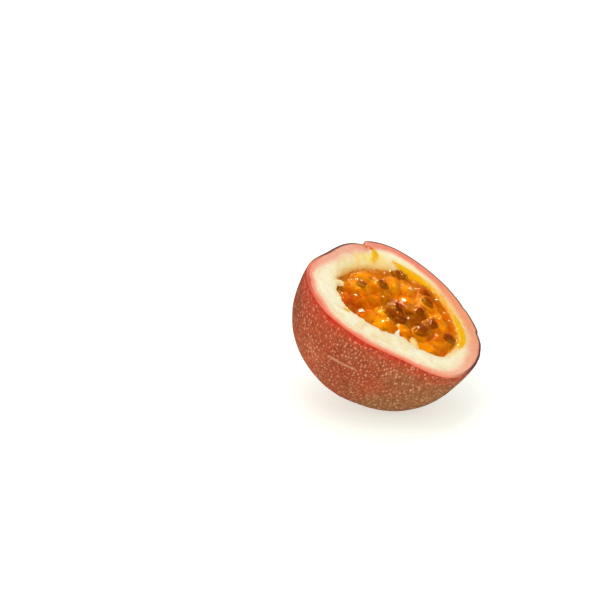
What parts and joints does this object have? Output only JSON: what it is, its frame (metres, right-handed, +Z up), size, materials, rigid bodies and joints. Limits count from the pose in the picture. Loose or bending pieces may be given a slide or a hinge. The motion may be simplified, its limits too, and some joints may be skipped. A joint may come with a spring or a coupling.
{
  "type": "passion fruit half",
  "caption": "Halved purple passion fruit resting tilted on its skin, with thick pith and a hollow full of seedy orange pulp.",
  "frame": {"origin": "middle of the small flat spot on the skin that the half rests on", "axes": "+Z up, +X towards the low side of the tilted cut, +Y across the cut"},
  "size_m": [0.0513, 0.0528, 0.0418],
  "materials": {
    "rind": "satin fruit skin, brown-red with pale speckles outside, pink and white pith on the cut",
    "pulp": "wet orange jelly sacs round dark brown seeds"
  },
  "bodies": {
    "root": {"rind_shell": "rind", "pulp_with_seeds": "pulp"}
  },
  "joints": []
}
